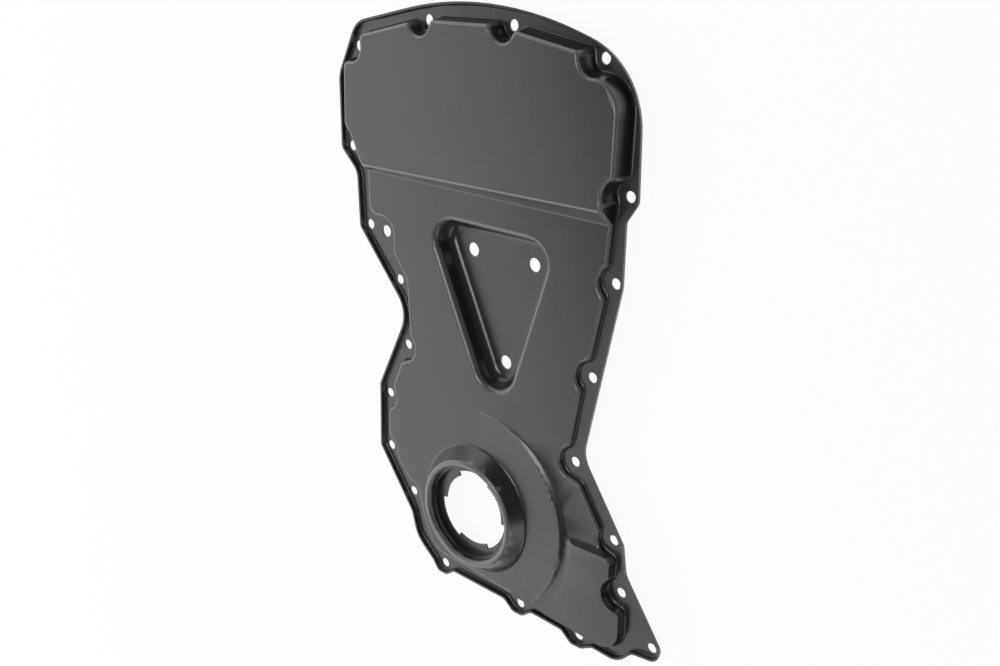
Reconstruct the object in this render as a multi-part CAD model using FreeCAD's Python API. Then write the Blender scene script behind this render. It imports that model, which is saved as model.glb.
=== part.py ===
# Timing cover: one deep-drawn steel sheet, lying flange down, outer face up.
# Millimetres. Heights are measured from the mounting plane of the flange while building;
# at the end the cover is lowered so that the origin is at mid-depth of the seal seat's straight wall.
import FreeCAD
import Part
import math
import os

# Sheet and flange
SHEET = 1.6
LIP_HEIGHT = 3.6
LIP_FLARE = 10.0
LIP_BEND = 1.5

# Raised body
WALL_DRAFT = 10.0
CREST_RADIUS = 2.4
FOOT_RADIUS = 1.8
INNER_FOOT_RADIUS = 2.4
SHOULDER_RADIUS = 6.0

# Holes
BOLT_RADIUS = 4.0
DOWEL_RADIUS = 4.8
POCKET_BOLT_RADIUS = 5.4

# Flange bolts, clockwise from the top left of the upper chamber
TOP_LEFT_BOLT = (-61.5, 372.9)
TOP_RIGHT_BOLT = (18.5, 375.3)
UPPER_LEFT_BOLT = (-135.4, 348.0)
UPPER_RIGHT_BOLT = (96.2, 360.8)
LOWER_LEFT_CHAMBER_BOLT = (-144.4, 269.6)
LOWER_RIGHT_CHAMBER_BOLT = (122.5, 274.2)
EAR_BOLT = (-124.5, 209.0)
EAR_DOWEL = (-106.3, 206.7)
LEFT_BOLT_A = (-91.3, 169.8)
LEFT_BOLT_B = (-81.9, 116.8)
LEFT_BOLT_C = (-102.7, 68.3)
LEFT_BOLT_D = (-101.5, 20.4)
LEFT_BOLT_E = (-74.9, -13.4)
RIGHT_BOLT_A = (115.5, 212.9)
RIGHT_BOLT_B = (101.0, 140.1)
RIGHT_BOLT_C = (90.3, 70.5)
RIGHT_BOLT_D = (128.6, 20.2)
RIGHT_BOLT_E = (138.3, -19.8)
BOTTOM_BOLT_A = (-37.3, -67.5)
BOTTOM_BOLT_B = (44.5, -70.7)
BOTTOM_BOLT_C = (102.8, -73.3)
CORNER_BOLT = (168.0, -53.6)

FLANGE_BOLTS = [
    TOP_LEFT_BOLT, TOP_RIGHT_BOLT, UPPER_LEFT_BOLT, UPPER_RIGHT_BOLT,
    LOWER_LEFT_CHAMBER_BOLT, LOWER_RIGHT_CHAMBER_BOLT, EAR_BOLT,
    LEFT_BOLT_A, LEFT_BOLT_B, LEFT_BOLT_C, LEFT_BOLT_D, LEFT_BOLT_E,
    RIGHT_BOLT_A, RIGHT_BOLT_B, RIGHT_BOLT_C, RIGHT_BOLT_D, RIGHT_BOLT_E,
    BOTTOM_BOLT_A, BOTTOM_BOLT_B, BOTTOM_BOLT_C, CORNER_BOLT,
]


def unit(angle):
    return math.cos(math.radians(angle)), math.sin(math.radians(angle))


def meet(p, d, q, e):
    """Point where the line through p along d crosses the line through q along e."""
    det = d[0] * e[1] - d[1] * e[0]
    s = ((q[0] - p[0]) * e[1] - (q[1] - p[1]) * e[0]) / det
    return p[0] + s * d[0], p[1] + s * d[1]


def inset_corners(corners, inset):
    """The same rounded outline moved inwards by inset, arcs keeping their centres."""
    n = len(corners)
    out = []
    for i in range(n):
        x, y, r = corners[i]
        a = corners[i - 1]
        b = corners[(i + 1) % n]
        d = (x - a[0], y - a[1])
        e = (b[0] - x, b[1] - y)
        dl = math.hypot(*d)
        el = math.hypot(*e)
        d = (d[0] / dl, d[1] / dl)
        e = (e[0] / el, e[1] / el)
        turn = d[0] * e[1] - d[1] * e[0]
        p = (x - d[1] * inset, y + d[0] * inset)
        q = (x - e[1] * inset, y + e[0] * inset)
        vx, vy = meet(p, d, q, e)
        radius = r - inset if turn > 0 else r + inset
        out.append((vx, vy, max(radius, 0.3)))
    return out


def outline(corners, z, inset=0.0):
    """Closed wire of lines and tangent arcs through a rounded polygon."""
    pts = inset_corners(corners, inset)
    n = len(pts)
    starts = []
    ends = []
    mids = []
    for i in range(n):
        x, y, r = pts[i]
        a = pts[i - 1]
        b = pts[(i + 1) % n]
        u = (a[0] - x, a[1] - y)
        v = (b[0] - x, b[1] - y)
        ul = math.hypot(*u)
        vl = math.hypot(*v)
        u = (u[0] / ul, u[1] / ul)
        v = (v[0] / vl, v[1] / vl)
        half = math.acos(max(-1.0, min(1.0, u[0] * v[0] + u[1] * v[1]))) / 2.0
        cut = r / math.tan(half)
        w = (u[0] + v[0], u[1] + v[1])
        wl = math.hypot(*w)
        reach = r / math.sin(half) - r
        starts.append(FreeCAD.Vector(x + u[0] * cut, y + u[1] * cut, z))
        ends.append(FreeCAD.Vector(x + v[0] * cut, y + v[1] * cut, z))
        mids.append(FreeCAD.Vector(x + w[0] / wl * reach, y + w[1] / wl * reach, z))
    edges = []
    for i in range(n):
        if ends[i - 1].distanceToPoint(starts[i]) > 0.01:
            edges.append(Part.LineSegment(ends[i - 1], starts[i]).toShape())
        else:
            starts[i] = ends[i - 1]
        edges.append(Part.Arc(starts[i], mids[i], ends[i]).toShape())
    return Part.Wire(edges)


def drafted(corners, z0, inset0, z1, inset1):
    """Solid between two parallel copies of one outline."""
    return Part.makeLoft([outline(corners, z0, inset0), outline(corners, z1, inset1)], True, True)


def bay(hole, radius, first, last, before, after, shoulder):
    """Corners of the concave bay that the body wall makes round a bolt."""
    middle = (first + last) / 2.0
    corners = []
    fx, fy = unit(first)
    start = (hole[0] + radius * fx, hole[1] + radius * fy)
    p = meet(start, (-fy, fx), before[0], (before[1][0] - before[0][0], before[1][1] - before[0][1]))
    corners.append((p[0], p[1], shoulder))
    for a, b in ((first, middle), (middle, last)):
        mx, my = unit((a + b) / 2.0)
        far = radius / math.cos(math.radians((b - a) / 2.0))
        corners.append((hole[0] + far * mx, hole[1] + far * my, radius))
    lx, ly = unit(last)
    end = (hole[0] + radius * lx, hole[1] + radius * ly)
    p = meet(end, (-ly, lx), after[0], (after[1][0] - after[0][0], after[1][1] - after[0][1]))
    corners.append((p[0], p[1], shoulder))
    return corners


def lobe(hole, radius, left, right, root):
    """Corners of the rounded lobe that the flange makes outside a bottom bolt."""
    return [
        (left[0], left[1], root),
        (hole[0] - 0.62 * radius, hole[1] - radius, 0.7 * radius),
        (hole[0] + 0.62 * radius, hole[1] - radius, 0.7 * radius),
        (right[0], right[1], root),
    ]


# Rim of the flange, counter-clockwise from the corner lobe: x, y and corner radius
RIM = [
    (183.8, -60.8, 8.7), (142.8, -2.9, 12.0), (138.9, 20.0, 8.0), (99.0, 78.0, 22.0),
    (123.2, 211.0, 30.0), (122.4, 256.5, 8.0), (131.2, 270.5, 6.0), (127.3, 360.5, 62.0),
    (0.0, 399.5, 300.0), (-135.3, 366.8, 20.0), (-155.0, 325.3, 25.0), (-153.3, 267.5, 6.0),
    (-136.0, 251.0, 14.0), (-133.0, 206.5, 5.0), (-79.5, 145.5, 25.0), (-111.0, 76.0, 5.0),
    (-110.7, 19.5, 5.0), (-73.5, -30.5, 12.0), (-67.0, -51.8, 28.0),
]
RIM += lobe(BOTTOM_BOLT_A, 7.9, (-48.0, -67.6), (-24.5, -69.3), 4.0)
RIM += lobe(BOTTOM_BOLT_B, 7.9, (30.0, -71.0), (58.0, -71.6), 6.0)
RIM += lobe(BOTTOM_BOLT_C, 7.9, (88.0, -73.2), (118.0, -75.4), 6.0)
RIM += [(141.5, -77.0, 18.0), (153.5, -63.8, 8.0)]

# Straight runs of the body's foot, counter-clockwise; bays round the bolts join them
RUN_RIGHT_1 = ((144.5, -60.0), (143.5, -35.0))
RUN_RIGHT_2 = ((132.6, -4.0), (132.6, 5.0))
RUN_RIGHT_3 = ((115.8, 30.0), (97.8, 57.0))
RUN_RIGHT_4 = ((89.0, 91.0), (92.4, 114.1))
RUN_RIGHT_5 = ((102.0, 159.1), (108.3, 194.0))
RUN_RIGHT_6 = ((110.8, 229.0), (112.8, 262.0))
RUN_RIGHT_7 = ((121.3, 292.0), (121.3, 324.0))
RUN_TOP_1 = ((80.0, 368.0), (33.0, 375.0))
RUN_TOP_2 = ((8.0, 378.0), (-52.0, 376.0))
RUN_TOP_3 = ((-80.0, 370.9), (-125.0, 359.4))
RUN_LEFT_1 = ((-144.9, 330.0), (-144.9, 290.0))
RUN_LEFT_3 = ((-95.26, 192.86), (-84.76, 180.36))
RUN_LEFT_4 = ((-78.4, 158.0), (-76.0, 130.0))
RUN_LEFT_5 = ((-84.5, 104.8), (-92.5, 85.0))
RUN_LEFT_6 = ((-99.9, 53.0), (-99.9, 34.0))
RUN_LEFT_7 = ((-88.5, 13.0), (-80.0, 3.5))
RUN_LEFT_8 = ((-65.0, -13.0), (-53.0, -45.0))

BODY = [(-46.0, -56.3, 20.0), (145.0, -69.5, 18.0)]
BODY += bay(RIGHT_BOLT_E, 11.5, 262.0, 142.0, RUN_RIGHT_1, RUN_RIGHT_2, 6.0)
BODY += bay(RIGHT_BOLT_D, 11.5, 255.0, 165.0, RUN_RIGHT_2, RUN_RIGHT_3, 6.0)
BODY += bay(RIGHT_BOLT_C, 11.5, 255.0, 130.0, RUN_RIGHT_3, RUN_RIGHT_4, 6.0)
BODY += bay(RIGHT_BOLT_B, 12.0, 225.0, 120.0, RUN_RIGHT_4, RUN_RIGHT_5, SHOULDER_RADIUS)
BODY += bay(RIGHT_BOLT_A, 11.8, 225.0, 130.0, RUN_RIGHT_5, RUN_RIGHT_6, SHOULDER_RADIUS)
BODY += bay(LOWER_RIGHT_CHAMBER_BOLT, 10.5, 200.0, 118.0, RUN_RIGHT_6, RUN_RIGHT_7, 6.5)
BODY += [(121.3, 352.1, 24.0)]
BODY += bay(UPPER_RIGHT_BOLT, 8.7, 270.0, 180.0, ((121.3, 352.1), (96.0, 352.1)), RUN_TOP_1, 5.6)[1:]
BODY += bay(TOP_RIGHT_BOLT, 8.7, 335.0, 205.0, RUN_TOP_1, RUN_TOP_2, 6.0)
BODY += bay(TOP_LEFT_BOLT, 8.7, 335.0, 208.0, RUN_TOP_2, RUN_TOP_3, 6.0)
BODY += bay(UPPER_LEFT_BOLT, 9.5, 5.0, -90.0, RUN_TOP_3, RUN_LEFT_1, 7.0)
BODY += [(-144.9, 287.5, 7.0), (-136.2, 277.5, 12.0), (-122.4, 251.0, 12.0), (-121.2, 218.5, 9.0)]
BODY += bay(EAR_DOWEL, 11.8, 90.0, 0.0, ((-121.2, 218.5), (-106.0, 218.5)), RUN_LEFT_3, 8.0)[1:]
BODY += bay(LEFT_BOLT_A, 11.8, 40.0, 4.9, RUN_LEFT_3, RUN_LEFT_4, 8.0)[1:-1]
BODY += bay(LEFT_BOLT_B, 11.5, 35.0, -70.0, RUN_LEFT_4, RUN_LEFT_5, 6.0)
BODY += bay(LEFT_BOLT_C, 11.0, 30.0, -50.0, RUN_LEFT_5, RUN_LEFT_6, 6.0)
BODY += bay(LEFT_BOLT_D, 10.5, 50.0, 15.0, RUN_LEFT_6, RUN_LEFT_7, 6.0)
BODY += bay(LEFT_BOLT_E, 11.2, 70.0, 15.0, RUN_LEFT_7, RUN_LEFT_8, 8.0)


def below(a, b, c):
    """Everything under the plane through three points."""
    a = FreeCAD.Vector(*a)
    normal = (FreeCAD.Vector(*b) - a).cross(FreeCAD.Vector(*c) - a)
    if normal.z < 0:
        normal = normal * -1.0
    block = Part.makeBox(1600.0, 1600.0, 120.0, FreeCAD.Vector(-800.0, -800.0, -120.0))
    block.Placement = FreeCAD.Placement(a, FreeCAD.Rotation(FreeCAD.Vector(0, 0, 1), normal))
    return block


# The tray: flat flange with the lip turned up all round
SLOPE = math.tan(math.radians(WALL_DRAFT))
FLARE = math.tan(math.radians(LIP_FLARE))
LIP_TOP = SHEET + LIP_HEIGHT
LIP_WALL = SHEET / math.cos(math.radians(LIP_FLARE))
tray = drafted(RIM, 0.0, LIP_TOP * FLARE, LIP_TOP, 0.0)
tray = tray.makeFillet(LIP_BEND + SHEET, [edge for edge in tray.Edges if edge.BoundBox.ZMax < 0.01])
tray_room = drafted(RIM, SHEET, LIP_HEIGHT * FLARE + LIP_WALL, LIP_TOP + 1.0, LIP_WALL - FLARE)

# Heights of the body's panels above the mounting plane, over x
UPPER_LEFT_HEIGHT = 11.6
UPPER_RIGHT_HEIGHT = 17.6
MIDDLE_LEFT_HEIGHT = 7.6
MIDDLE_RIGHT_HEIGHT = 6.1
LEFT_X = -143.0
RIGHT_X = 106.0


def level(left, right, x):
    """Height at x of a panel that has given heights at the left and right of the body."""
    return left + (right - left) * (x - LEFT_X) / (RIGHT_X - LEFT_X)


def upper_height(x):
    return level(UPPER_LEFT_HEIGHT, UPPER_RIGHT_HEIGHT, x)


def middle_height(x):
    return level(MIDDLE_LEFT_HEIGHT, MIDDLE_RIGHT_HEIGHT, x)


def nearest_edge(shape, point):
    """Edge of shape that passes closest to a point."""
    probe = Part.Vertex(FreeCAD.Vector(*point))
    return min(shape.Edges, key=lambda edge: edge.distToShape(probe)[0])


def panels(drop, crest, foot):
    """Solid under the panels of the body, lowered by drop, the step between them rounded."""
    step_left = (-130.0, 258.5, upper_height(-130.0) - drop)
    step_right = (103.0, 264.0, upper_height(103.0) - drop)
    step_foot = (103.0, 259.0, 12.1 - drop)
    upper = below(step_left, step_right, (0.0, 400.0, upper_height(0.0) - drop))
    riser = below(step_left, step_right, step_foot)
    middle = below(
        (LEFT_X, 0.0, MIDDLE_LEFT_HEIGHT - drop),
        (RIGHT_X, 0.0, MIDDLE_RIGHT_HEIGHT - drop),
        (0.0, 200.0, middle_height(0.0) - drop),
    )
    room = Part.makeBox(400.0, 520.0, 60.0, FreeCAD.Vector(-180.0, -110.0, -2.0))
    solid = room.common(upper).common(riser).fuse(room.common(middle)).removeSplitter()
    solid = solid.makeFillet(crest, [nearest_edge(solid, step_right)])
    foot_point = (0.0, 254.0, middle_height(0.0) - drop)
    return solid.makeFillet(foot, [nearest_edge(solid, foot_point)])


def slant(face):
    """Upward lean of a face: 1 for a level face, 0 for a vertical wall."""
    u0, u1, v0, v1 = face.ParameterRange
    return abs(face.normalAt((u0 + u1) / 2.0, (v0 + v1) / 2.0).z)


def crest_edges(solid):
    """Edges where the drafted wall meets the panels above it."""
    found = []
    for edge in solid.Edges:
        if edge.BoundBox.ZMin < SHEET + 1.0:
            continue
        slants = sorted(slant(f) for f in solid.Faces if any(edge.isSame(e) for e in f.Edges))
        if len(slants) == 2 and slants[0] < 0.3 and slants[1] > 0.5:
            found.append(edge)
    return found


# Room inside the drafted wall, outside and inside of the sheet
WALL = SHEET / math.cos(math.radians(WALL_DRAFT))
ROOM_TOP = 24.0
outer_room = drafted(BODY, 0.0, -SHEET * SLOPE, ROOM_TOP, (ROOM_TOP - SHEET) * SLOPE)
inner_room = drafted(BODY, -1.0, WALL - (1.0 + SHEET) * SLOPE, ROOM_TOP, WALL + (ROOM_TOP - SHEET) * SLOPE)


def edges_along(solid, wire, reach):
    """Edges of a solid whose middles lie on a wire, within reach."""
    found = []
    for edge in solid.Edges:
        first, last = edge.ParameterRange
        middle = Part.Vertex(edge.valueAt((first + last) / 2.0))
        if wire.distToShape(middle)[0] < reach:
            found.append(edge)
    return found


def raised(room, block, crest):
    """Part of a block of panels inside the wall, with its crest rounded."""
    solid = room.common(block)
    return solid.makeFillet(crest, crest_edges(solid))


# Disk plateau round the crank, leaning up towards the right
DISK_RADIUS = 85.0
DISK_HEIGHT = 6.9
DISK_LEAN = math.degrees(math.atan(0.032))
DISK_SPREAD = 1.67
DISK_ROUND = 4.0


def disk(drop):
    """Low plateau with a sloping edge round the crank axis."""
    depth = 30.0
    solid = Part.makeCone(DISK_RADIUS + DISK_SPREAD * depth, DISK_RADIUS, depth, FreeCAD.Vector(0.0, 0.0, -depth))
    solid = solid.makeFillet(DISK_ROUND, [nearest_edge(solid, (DISK_RADIUS, 0.0, 0.0))])
    solid.rotate(FreeCAD.Vector(0, 0, 0), FreeCAD.Vector(0, 1, 0), -DISK_LEAN)
    solid.translate(FreeCAD.Vector(0.0, 0.0, DISK_HEIGHT - drop))
    return solid


# Plateau in the lower right corner, parted from the disk by a shallow valley
CORNER_HEIGHT = 9.6
CORNER_CREST_Y = 6.8
CORNER_FOOT_Y = 11.7
VALLEY_RADIUS = 93.0
VALLEY_HEIGHT = 7.4
VALLEY_END_HEIGHT = 8.8
VALLEY_SPREAD = 2.3


def corner_plateau(drop):
    """Plateau right of the disk and below the crank, with the valley's floor."""
    room = Part.makeBox(180.0, 110.0, 40.0, FreeCAD.Vector(40.0, -90.0, -10.0))
    crest = (0.0, CORNER_CREST_Y, CORNER_HEIGHT - drop)
    front = below(crest, (100.0, CORNER_CREST_Y, CORNER_HEIGHT - drop), (0.0, CORNER_FOOT_Y, 6.0 - drop))
    top = below(crest, (100.0, CORNER_CREST_Y, CORNER_HEIGHT - drop), (0.0, -50.0, CORNER_HEIGHT - drop))
    block = room.common(front).common(top)
    block = block.makeFillet(3.0, [nearest_edge(block, (120.0, CORNER_CREST_Y, CORNER_HEIGHT - drop))])
    funnel = Part.makeCone(
        VALLEY_RADIUS - VALLEY_SPREAD * 4.0,
        VALLEY_RADIUS + VALLEY_SPREAD * 8.0,
        12.0,
        FreeCAD.Vector(0.0, 0.0, VALLEY_HEIGHT - 4.0 - drop),
    )
    floor = below(
        (0.0, CORNER_CREST_Y, VALLEY_HEIGHT - drop),
        (100.0, CORNER_CREST_Y, VALLEY_HEIGHT - drop),
        (0.0, -60.0, VALLEY_END_HEIGHT - drop),
    )
    return block.cut(funnel), room.common(front).common(floor)


# Crank boss: a drawn ring with the seal seat inside
BOSS_FOOT_RADIUS = 52.0
BOSS_RIM_RADIUS = 44.0
BOSS_TOP = 20.4
BOSS_ROUND = 2.1
BOSS_FOOT_ROUND = 2.0
SEAT_RADIUS = 39.5
SEAT_LEDGE = 15.4
LOWER_SEAT_RADIUS = 37.5
FLANGE_FACE = 10.4
MOUTH_RADIUS = 32.8
TAB_RADIUS = 29.0
NOTCHES = [(62.0, 120.0), (178.0, 243.0), (299.0, 357.0)]
boss = Part.makeCone(BOSS_FOOT_RADIUS, BOSS_RIM_RADIUS, BOSS_TOP)
boss = boss.cut(Part.makeCylinder(SEAT_RADIUS, BOSS_TOP, FreeCAD.Vector(0, 0, SEAT_LEDGE)))
boss = boss.cut(Part.makeCylinder(LOWER_SEAT_RADIUS, BOSS_TOP, FreeCAD.Vector(0, 0, FLANGE_FACE)))
boss = boss.makeFillet(
    BOSS_ROUND,
    [nearest_edge(boss, (BOSS_RIM_RADIUS, 0.0, BOSS_TOP)), nearest_edge(boss, (SEAT_RADIUS, 0.0, BOSS_TOP))],
)


def boss_foot(solid):
    """Edges where the outside of the boss meets the panels."""
    found = []
    for edge in solid.Edges:
        first, last = edge.ParameterRange
        middle = edge.valueAt((first + last) / 2.0)
        reach = math.hypot(middle.x, middle.y)
        if abs(reach - BOSS_FOOT_RADIUS + 2.4) < 1.2 and edge.BoundBox.ZMin > SHEET and edge.Length > 3.0:
            found.append(edge)
    return found


boss_hollow = Part.makeCone(
    BOSS_FOOT_RADIUS - SHEET,
    BOSS_RIM_RADIUS - SHEET,
    BOSS_TOP,
    FreeCAD.Vector(0, 0, -SHEET),
)
boss_tube = Part.makeCylinder(SEAT_RADIUS + SHEET, BOSS_TOP, FreeCAD.Vector(0, 0, FLANGE_FACE - SHEET))
mouth = Part.makeCylinder(TAB_RADIUS, 60.0, FreeCAD.Vector(0, 0, -20.0))
for first, last in NOTCHES:
    notch = Part.makeCylinder(
        MOUTH_RADIUS, 60.0, FreeCAD.Vector(0, 0, -20.0), FreeCAD.Vector(0, 0, 1), last - first
    )
    notch.rotate(FreeCAD.Vector(0, 0, 0), FreeCAD.Vector(0, 0, 1), first)
    mouth = mouth.fuse(notch)

# Pocket pressed back towards the engine, with three bolts in its floor
POCKET = [(64.3, 230.0, 17.0), (-57.9, 230.0, 17.0), (17.3, 72.8, 19.0)]
POCKET_BOLTS = [(-23.3, 206.4), (36.1, 206.8), (12.1, 124.2)]
POCKET_FLOOR = -9.4
POCKET_FLOOR_ROUND = 8.0
POCKET_CREST = 5.0
POCKET_MOUTH = middle_height(0.0)


def pocket_form(floor, grow, top):
    """Drafted triangular form of the pocket down to a rounded floor."""
    deep = (POCKET_MOUTH - floor) * SLOPE - grow
    high = (POCKET_MOUTH - top) * SLOPE - grow
    solid = drafted(POCKET, floor, deep, top, high)
    rim = [edge for edge in solid.Edges if edge.BoundBox.ZMax < floor + 0.01]
    return solid.makeFillet(POCKET_FLOOR_ROUND + grow, rim)


def pocket_edges(solid, low, high):
    """Long level edges round the pocket between two heights."""
    found = []
    for edge in solid.Edges:
        box = edge.BoundBox
        inside = box.XMin > -65.0 and box.XMax < 75.0 and box.YMin > 65.0 and box.YMax < 245.0
        if inside and edge.Length > 20.0 and box.ZMin > low and box.ZMax < high:
            found.append(edge)
    return found


pocket = pocket_form(POCKET_FLOOR, 0.0, 30.0)
pocket_shell = pocket_form(POCKET_FLOOR - SHEET, WALL, POCKET_MOUTH - 0.8)

# Sheet: everything under the outer form, less everything under the inner form
block, floor = corner_plateau(0.0)
outer = raised(outer_room, panels(0.0, 2.6, 2.6), CREST_RADIUS)
outer = outer.fuse([raised(outer_room, disk(0.0), CREST_RADIUS), outer_room.common(block), outer_room.common(floor)])
block, floor = corner_plateau(SHEET)
inner = raised(inner_room, panels(SHEET, 1.0, 4.2), CREST_RADIUS - SHEET)
inner = inner.fuse([inner_room.common(disk(SHEET)), inner_room.common(block), inner_room.common(floor)])
shell = tray.cut(tray_room).fuse(outer).removeSplitter()
shell = shell.makeFillet(FOOT_RADIUS, edges_along(shell, outline(BODY, SHEET), 0.05))
lip_root = outline(RIM, SHEET, LIP_HEIGHT * FLARE + LIP_WALL)
shell = shell.makeFillet(LIP_BEND, edges_along(shell, lip_root, 0.05))
shell = shell.fuse(boss).removeSplitter()
shell = shell.makeFillet(BOSS_FOOT_ROUND, boss_foot(shell))
shell = shell.cut(inner.fuse(boss_hollow).cut(boss_tube)).cut(mouth)
shell = shell.fuse(pocket_shell).cut(pocket).removeSplitter()
shell = shell.makeFillet(POCKET_CREST - SHEET, pocket_edges(shell, MIDDLE_RIGHT_HEIGHT - 1.6, MIDDLE_LEFT_HEIGHT - 1.6))
shell = shell.makeFillet(POCKET_CREST, pocket_edges(shell, MIDDLE_RIGHT_HEIGHT, MIDDLE_LEFT_HEIGHT))
shell = shell.makeFillet(INNER_FOOT_RADIUS, edges_along(shell, outline(BODY, 0.0, WALL - SHEET * SLOPE), 0.08))
holes = []
for x, y in FLANGE_BOLTS:
    holes.append(Part.makeCylinder(BOLT_RADIUS, 20.0, FreeCAD.Vector(x, y, -8.0)))
for x, y in POCKET_BOLTS:
    holes.append(Part.makeCylinder(POCKET_BOLT_RADIUS, 30.0, FreeCAD.Vector(x, y, -20.0)))
holes.append(Part.makeCylinder(DOWEL_RADIUS, 20.0, FreeCAD.Vector(EAR_DOWEL[0], EAR_DOWEL[1], -8.0)))
timing_cover = shell.cut(Part.makeCompound(holes))
timing_cover.translate(FreeCAD.Vector(0.0, 0.0, -(SEAT_LEDGE + BOSS_TOP - BOSS_ROUND) / 2.0))

os.makedirs("parts", exist_ok=True)
timing_cover.exportStep("parts/timing_cover.step")
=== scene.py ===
import math

import bmesh
import bpy
from mathutils import Matrix, Vector

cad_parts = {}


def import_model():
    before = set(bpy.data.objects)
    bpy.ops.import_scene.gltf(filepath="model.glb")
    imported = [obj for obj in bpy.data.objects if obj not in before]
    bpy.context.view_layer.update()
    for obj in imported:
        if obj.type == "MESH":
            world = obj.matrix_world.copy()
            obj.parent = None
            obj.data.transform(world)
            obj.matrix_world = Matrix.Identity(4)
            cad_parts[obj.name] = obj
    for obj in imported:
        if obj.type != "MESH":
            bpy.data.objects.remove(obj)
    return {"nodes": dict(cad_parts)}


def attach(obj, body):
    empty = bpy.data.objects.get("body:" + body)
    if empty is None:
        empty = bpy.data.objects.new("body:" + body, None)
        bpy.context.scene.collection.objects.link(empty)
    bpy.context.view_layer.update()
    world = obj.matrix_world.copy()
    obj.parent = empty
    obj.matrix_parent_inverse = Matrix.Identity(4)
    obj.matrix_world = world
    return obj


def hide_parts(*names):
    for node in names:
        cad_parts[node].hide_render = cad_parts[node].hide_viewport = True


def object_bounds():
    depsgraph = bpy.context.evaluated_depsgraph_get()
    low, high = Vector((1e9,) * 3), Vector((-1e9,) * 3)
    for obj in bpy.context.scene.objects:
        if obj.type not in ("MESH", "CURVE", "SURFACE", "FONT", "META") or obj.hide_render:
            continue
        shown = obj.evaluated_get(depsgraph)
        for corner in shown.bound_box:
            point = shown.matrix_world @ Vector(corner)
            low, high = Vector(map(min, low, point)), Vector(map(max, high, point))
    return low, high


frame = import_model()
cad_low, cad_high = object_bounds()

# Camera of the photograph
CAMERA_PLACE = Vector((0.5299, 0.4436, 0.60045))
CAMERA_RIGHT = Vector((0.7597, 0.0291, -0.6496))
CAMERA_BACK = Vector((0.6031, 0.3418, 0.7207))
CAMERA_LENS = 41.08
SENSOR_WIDTH = 36.0
CLIP_START = 0.01

# Smooth shading runs over every bend gentler than the crease, and large faces lead in it
CREASE_DEGREES = 38.0
MERGE_DISTANCE = 0.00001
LARGE_FACES_LEAD = 100

# The coat gets a painted highlight, a paler grey, where the surface bulges: mean curvature, per
# metre, of the crest with the full painted highlight, the least share of it that counts, and how
# often the marks are evened out
CREST_BULGE = 200.0
CREST_LEAST = 0.15
CREST_EVENINGS = 10

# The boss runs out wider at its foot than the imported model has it: by the flare, between two
# radii, over the drop from its rim, along the lean of the panels to its right and left
FLARE = 0.0044
FLARE_INNER = 0.0413
FLARE_OUTER = 0.0530
BOSS_TOP = 0.00355
BOSS_DROP = 0.0134
DISK_LEAN = 0.032
PANEL_LEAN = -0.0054

# Coat: greys, roughness and clear layer; spans are the noise values between which a tone changes
COAT_GREY = 0.027
COOL_CAST = 1.015
COAT_ROUGHNESS = 0.28
COAT_IOR = 1.5
CLEAR_WEIGHT = 0.15
CLEAR_ROUGHNESS = 0.3
CLOUD_SCALE = 14.0
CLOUD_DETAIL = 3.0
CLOUD_SPAN = (0.3, 0.7)
CLOUD_GREYS = (0.022, 0.027)
SPECK_SCALE = 900.0
SPECK_DETAIL = 2.0
SPECK_SPAN = (0.46, 0.56)
SPECK_GREYS = (0.92, 1.06)
# Painted highlight on the crests: the span of the crest mark over which the coat turns to a paler
# grey
CREST_HIGHLIGHT_SPAN = (0.15, 0.60)
CREST_HIGHLIGHT_GREY = 0.13
SHEEN_SCALE = 22.0
SHEEN_DETAIL = 4.0
SHEEN_SPAN = (0.3, 0.7)
SHEEN_ROUGHNESS = (0.24, 0.28)

# Orange peel and slow waves of the sheet: noise scale, noise detail and depth
SKIN = [(420.0, 3.0, 0.0002), (9.0, 0.0, 0.002)]
SKIN_STRENGTH = 0.10

# Floor, and how much of its own white the camera sees in it
FLOOR_SIZE = 30.0
FLOOR_RIM = 1.2
FLOOR_GREY = (0.80, 0.80, 0.80, 1.0)
FLOOR_GLOW = 0.95
WHITE = (1.0, 1.0, 1.0, 1.0)
STUDIO_STRENGTH = 0.10

# Soft boxes: name, place, the point that it faces, width, height and power in watts
MIDDLE = (0.0, 0.15, 0.0)
CRANK = (0.0, 0.0, 0.0)
SOFT_BOXES = [
    ("side_wall", (-1.05, -0.30, 0.62), MIDDLE, 2.3, 1.30, 16.4),
    ("far_wall", (-0.75, 1.05, 0.45), MIDDLE, 1.2, 0.6, 4.5),
    ("overhead", (-0.05, 0.30, 1.50), MIDDLE, 0.5, 0.6, 8.0),
    ("low_right", (0.95, -0.80, 0.50), CRANK, 1.2, 0.5, 3.5),
]


def flare_boss(form):
    """Let the foot of the crank boss run out wider while its rim stays."""
    for vert in form.verts:
        reach = math.hypot(vert.co.x, vert.co.y)
        if FLARE_INNER < reach < FLARE_OUTER:
            share = min(1.0, max(0.0, (BOSS_TOP - vert.co.z) / BOSS_DROP))
            growth = FLARE * share / reach
            lean = DISK_LEAN if vert.co.x > 0.0 else PANEL_LEAN
            vert.co += Vector((vert.co.x, vert.co.y, lean * vert.co.x)) * growth


def bulge(vert, crease):
    """Mean curvature at a vertex, as a share of the most, with cut edges left out.

    Each end of an edge gets a quarter of its fold angle times its length. A vertex has a third
    of the area of the faces round it.
    """
    folds = [(edge.calc_face_angle_signed(0.0), edge.calc_length()) for edge in vert.link_edges]
    bend = sum(angle * length for angle, length in folds if abs(angle) < crease) / 4.0
    room = sum(face.calc_area() for face in vert.link_faces) / 3.0
    return min(1.0, max(0.0, bend / (room * CREST_BULGE)))


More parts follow.
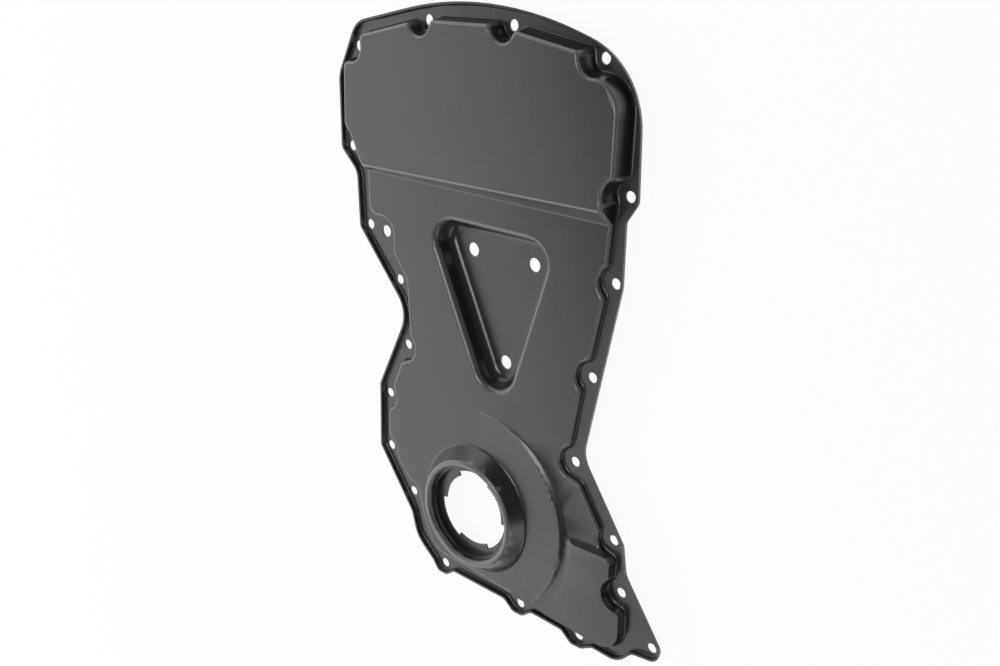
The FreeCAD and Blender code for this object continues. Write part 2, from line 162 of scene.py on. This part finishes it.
def mark_crests(form, crease):
    """Write the bulge on each vertex, evened out along the crests: 0 on flats and in hollows."""
    layer = form.verts.layers.float.new("crest")
    for vert in form.verts:
        vert[layer] = bulge(vert, crease)
    crests = [vert for vert in form.verts if vert[layer] > CREST_LEAST]
    for _ in range(CREST_EVENINGS):
        evened = []
        for vert in crests:
            near = [edge.other_vert(vert)[layer] for edge in vert.link_edges]
            near = [value for value in near if value > CREST_LEAST]
            evened.append((vert[layer] + sum(near)) / (1 + len(near)))
        for vert, value in zip(crests, evened):
            vert[layer] = value


def smooth_sheet(node):
    """A merged copy of the CAD mesh, shaded smooth across the fillets and sharp at the edges."""
    mesh = frame["nodes"][node].data.copy()
    mesh.name = node + "_coated"
    form = bmesh.new()
    form.from_mesh(mesh)
    bmesh.ops.remove_doubles(form, verts=form.verts, dist=MERGE_DISTANCE)
    crease = math.radians(CREASE_DEGREES)
    flare_boss(form)
    mark_crests(form, crease)
    for face in form.faces:
        face.smooth = True
    for edge in form.edges:
        edge.smooth = len(edge.link_faces) == 2 and edge.calc_face_angle(0.0) < crease
    form.to_mesh(mesh)
    form.free()
    sheet = bpy.data.objects.new(node + "_coated", mesh)
    bpy.context.scene.collection.objects.link(sheet)
    weigh = sheet.modifiers.new("even_faces", "WEIGHTED_NORMAL")
    weigh.keep_sharp = True
    weigh.weight = LARGE_FACES_LEAD
    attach(sheet, "root")
    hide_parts(node)
    return sheet


def new_material(name):
    """An empty node material and its tree."""
    material = bpy.data.materials.new(name)
    material.use_nodes = True
    material.node_tree.nodes.clear()
    return material, material.node_tree


def add(tree, kind, **settings):
    """A node of that kind with these settings."""
    node = tree.nodes.new(kind)
    for key, value in settings.items():
        setattr(node, key, value)
    return node


def noise(tree, place, scale, detail):
    """Noise over the object's own coordinates."""
    node = add(tree, "ShaderNodeTexNoise")
    node.inputs["Scale"].default_value = scale
    node.inputs["Detail"].default_value = detail
    tree.links.new(place, node.inputs["Vector"])
    return node.outputs["Fac"]


def grey(value):
    """Near neutral colour of that brightness, a touch cool."""
    return (value, value, value * COOL_CAST, 1.0)


def ramp(tree, fac, span, greys):
    """Ramp from one grey to another between the two values of the span."""
    node = add(tree, "ShaderNodeValToRGB")
    for element, position, value in zip(node.color_ramp.elements, span, greys):
        element.position = position
        element.color = grey(value)
    tree.links.new(fac, node.inputs["Fac"])
    return node.outputs["Color"]


def coat_tone(tree, place):
    """Colour of the coat: faint clouds and specks, with a painted highlight, a paler grey, on the
    crests.
    """
    clouds = ramp(tree, noise(tree, place, CLOUD_SCALE, CLOUD_DETAIL), CLOUD_SPAN, CLOUD_GREYS)
    specks = ramp(tree, noise(tree, place, SPECK_SCALE, SPECK_DETAIL), SPECK_SPAN, SPECK_GREYS)
    tone = add(tree, "ShaderNodeMix", data_type="RGBA", blend_type="MULTIPLY")
    tone.inputs["Factor"].default_value = 1.0
    tree.links.new(clouds, tone.inputs["A"])
    tree.links.new(specks, tone.inputs["B"])
    # Painted highlight: the coat is mixed towards a paler grey along the crests
    crest = add(tree, "ShaderNodeAttribute", attribute_name="crest").outputs["Fac"]
    crest_highlight = add(tree, "ShaderNodeMix", data_type="RGBA", blend_type="MIX")
    tree.links.new(ramp(tree, crest, CREST_HIGHLIGHT_SPAN, (0.0, 1.0)), crest_highlight.inputs["Factor"])
    tree.links.new(tone.outputs["Result"], crest_highlight.inputs["A"])
    crest_highlight.inputs["B"].default_value = grey(CREST_HIGHLIGHT_GREY)
    return crest_highlight.outputs["Result"]


def black_coat():
    """Satin electro-coat: dark grey, with an uneven sheen, an orange-peel skin and slow waves."""
    material, tree = new_material("black_coat_satin")
    place = add(tree, "ShaderNodeTexCoord").outputs["Object"]
    shader = add(tree, "ShaderNodeBsdfPrincipled")
    shader.inputs["Base Color"].default_value = grey(COAT_GREY)
    shader.inputs["Roughness"].default_value = COAT_ROUGHNESS
    shader.inputs["Metallic"].default_value = 0.0
    shader.inputs["IOR"].default_value = COAT_IOR
    shader.inputs["Coat Weight"].default_value = CLEAR_WEIGHT
    shader.inputs["Coat Roughness"].default_value = CLEAR_ROUGHNESS
    tree.links.new(coat_tone(tree, place), shader.inputs["Base Color"])
    sheen = noise(tree, place, SHEEN_SCALE, SHEEN_DETAIL)
    tree.links.new(ramp(tree, sheen, SHEEN_SPAN, SHEEN_ROUGHNESS), shader.inputs["Roughness"])

    target = shader.inputs["Normal"]
    for scale, detail, depth in reversed(SKIN):
        bump = add(tree, "ShaderNodeBump")
        bump.inputs["Strength"].default_value = SKIN_STRENGTH
        bump.inputs["Distance"].default_value = depth
        tree.links.new(noise(tree, place, scale, detail), bump.inputs["Height"])
        tree.links.new(bump.outputs["Normal"], target)
        target = bump.inputs["Normal"]

    output = add(tree, "ShaderNodeOutputMaterial")
    tree.links.new(shader.outputs["BSDF"], output.inputs["Surface"])
    return material


def white_sweep():
    """Matt white floor that shows nearly pure white, with the shadow kept."""
    material, tree = new_material("white_sweep")
    matt = add(tree, "ShaderNodeBsdfDiffuse")
    matt.inputs["Color"].default_value = FLOOR_GREY
    glow = add(tree, "ShaderNodeEmission")
    glow.inputs["Color"].default_value = WHITE
    glow.inputs["Strength"].default_value = 1.0
    path = add(tree, "ShaderNodeLightPath")
    seen = path.outputs["Is Camera Ray"]
    for ray in ("Is Glossy Ray", "Is Transmission Ray"):
        either = add(tree, "ShaderNodeMath", operation="MAXIMUM")
        tree.links.new(seen, either.inputs[0])
        tree.links.new(path.outputs[ray], either.inputs[1])
        seen = either.outputs[0]
    share = add(tree, "ShaderNodeMath", operation="MULTIPLY")
    tree.links.new(seen, share.inputs[0])
    share.inputs[1].default_value = FLOOR_GLOW
    mix = add(tree, "ShaderNodeMixShader")
    tree.links.new(share.outputs[0], mix.inputs["Fac"])
    tree.links.new(matt.outputs["BSDF"], mix.inputs[1])
    tree.links.new(glow.outputs["Emission"], mix.inputs[2])
    output = add(tree, "ShaderNodeOutputMaterial")
    tree.links.new(mix.outputs["Shader"], output.inputs["Surface"])
    return material


def floor():
    """White floor under the cover, turned up far away so that a low view sees no edge."""
    half = FLOOR_SIZE / 2.0
    mesh = bpy.data.meshes.new("floor")
    plan = [(-half, -half), (half, -half), (half, half), (-half, half)]
    corners = [(x, y, cad_low.z + rise) for rise in (0.0, FLOOR_RIM) for x, y in plan]
    walls = [(k, (k + 1) % 4, (k + 1) % 4 + 4, k + 4) for k in range(4)]
    mesh.from_pydata(corners, [], [(0, 1, 2, 3)] + walls)
    sweep = bpy.data.objects.new("floor", mesh)
    bpy.context.scene.collection.objects.link(sweep)
    mesh.materials.append(white_sweep())


def world():
    """Even, dim studio surround."""
    surround = bpy.data.worlds.new("studio")
    surround.use_nodes = True
    tree = surround.node_tree
    tree.nodes.clear()
    studio = add(tree, "ShaderNodeBackground")
    studio.inputs["Color"].default_value = WHITE
    studio.inputs["Strength"].default_value = STUDIO_STRENGTH
    output = add(tree, "ShaderNodeOutputWorld")
    tree.links.new(studio.outputs["Background"], output.inputs["Surface"])
    bpy.context.scene.world = surround


def soft_light(name, place, target, width, height, power):
    """Soft box at place, facing target."""
    lamp = bpy.data.lights.new(name, "AREA")
    lamp.shape = "RECTANGLE"
    lamp.size = width
    lamp.size_y = height
    lamp.energy = power
    box = bpy.data.objects.new(name, lamp)
    box.location = place
    box.rotation_euler = (Vector(target) - Vector(place)).to_track_quat("-Z", "Y").to_euler()
    bpy.context.scene.collection.objects.link(box)


def camera():
    """Camera at the photograph's place and angle."""
    lens = bpy.data.cameras.new("photo_camera")
    lens.sensor_width = SENSOR_WIDTH
    lens.lens = CAMERA_LENS
    lens.clip_start = CLIP_START
    viewer = bpy.data.objects.new("photo_camera", lens)
    back = CAMERA_BACK.normalized()
    right = (CAMERA_RIGHT - back * CAMERA_RIGHT.dot(back)).normalized()
    up = back.cross(right)
    turn = Matrix((right, up, back)).transposed().to_4x4()
    viewer.matrix_world = Matrix.Translation(CAMERA_PLACE) @ turn
    bpy.context.scene.collection.objects.link(viewer)
    bpy.context.scene.camera = viewer


sheet = smooth_sheet("timing_cover")
sheet.data.materials.clear()
sheet.data.materials.append(black_coat())
floor()
world()
for soft_box in SOFT_BOXES:
    soft_light(*soft_box)
camera()
bpy.context.scene.view_settings.view_transform = "Standard"
